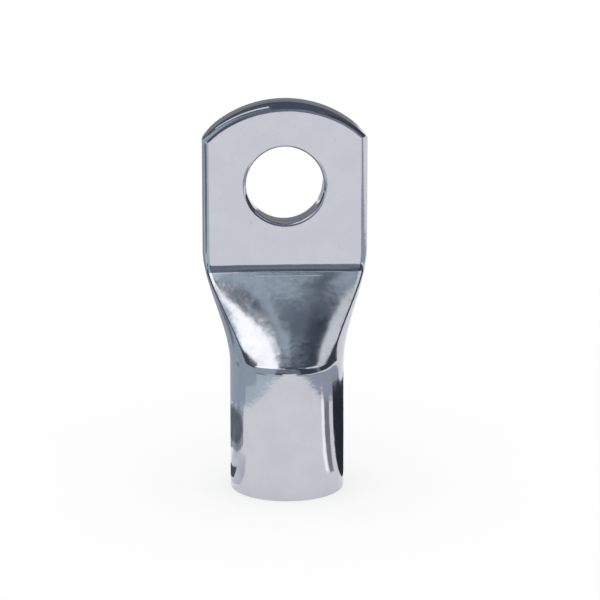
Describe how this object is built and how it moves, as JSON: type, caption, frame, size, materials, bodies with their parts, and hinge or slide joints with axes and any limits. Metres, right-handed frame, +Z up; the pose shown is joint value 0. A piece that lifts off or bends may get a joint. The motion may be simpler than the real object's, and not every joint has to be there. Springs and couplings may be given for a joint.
{
  "type": "cable lug",
  "caption": "Tinned copper tube cable lug: round crimp barrel, sloping pressed neck and flat arc-tipped palm with a stud hole.",
  "frame": {"origin": "centre of the barrel's mouth, in the plane of its rim", "axes": "+Z up the barrel towards the palm's tip, +Y out of the palm's contact face, X across the palm"},
  "size_m": [0.0278, 0.0191, 0.0648],
  "materials": {
    "tinned_copper": "bright tin plate, faintly mottled, with light rubbing marks"
  },
  "bodies": {
    "root": {"cable_lug": "tinned_copper"}
  },
  "joints": []
}
